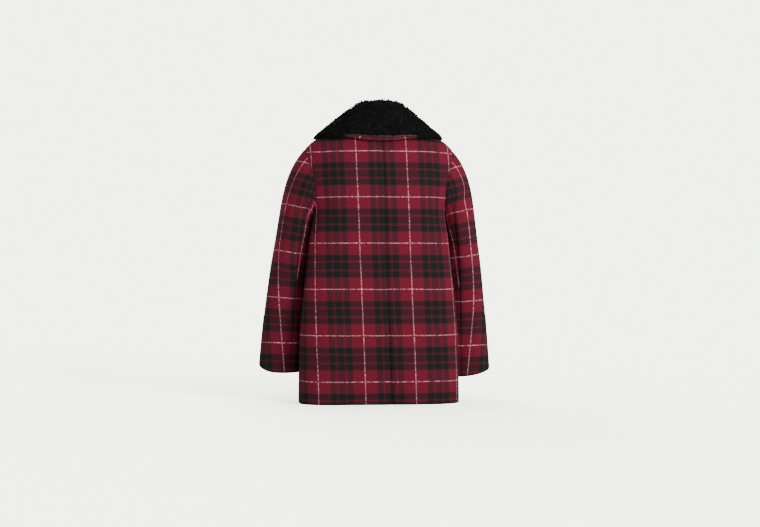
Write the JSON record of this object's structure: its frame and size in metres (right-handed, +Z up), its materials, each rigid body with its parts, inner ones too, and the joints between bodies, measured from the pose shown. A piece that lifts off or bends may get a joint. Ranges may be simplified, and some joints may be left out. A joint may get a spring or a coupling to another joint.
{
  "type": "plaid wool coat",
  "caption": "Hollow hip-length plaid wool coat with a black pile shawl collar, set-in sleeves, a buttoned front and a centre back vent.",
  "frame": {"origin": "middle of the neck opening, at the height of the neck seam at the nape", "axes": "+Z up, +X to the wearer's left, +Y behind the wearer; the buttoned front faces -Y"},
  "size_m": [0.625, 0.2199, 0.7904],
  "materials": {
    "plaid_wool": "brushed wool in a dark red and black plaid with thin white lines",
    "black_pile": "curly black wool pile",
    "binding": "smooth dark grey tape",
    "button": "dark satin"
  },
  "bodies": {
    "root": {"back_left": "plaid_wool", "back_right": "plaid_wool", "front_left": "plaid_wool", "front_right": "plaid_wool", "sleeve_top_left": "plaid_wool", "sleeve_under_left": "plaid_wool", "sleeve_top_right": "plaid_wool", "sleeve_under_right": "plaid_wool", "collar": "plaid_wool", "pile_collar": "black_pile", "pile_binding": "binding", "button_1": "button", "button_2": "button", "button_3": "button"}
  },
  "joints": []
}
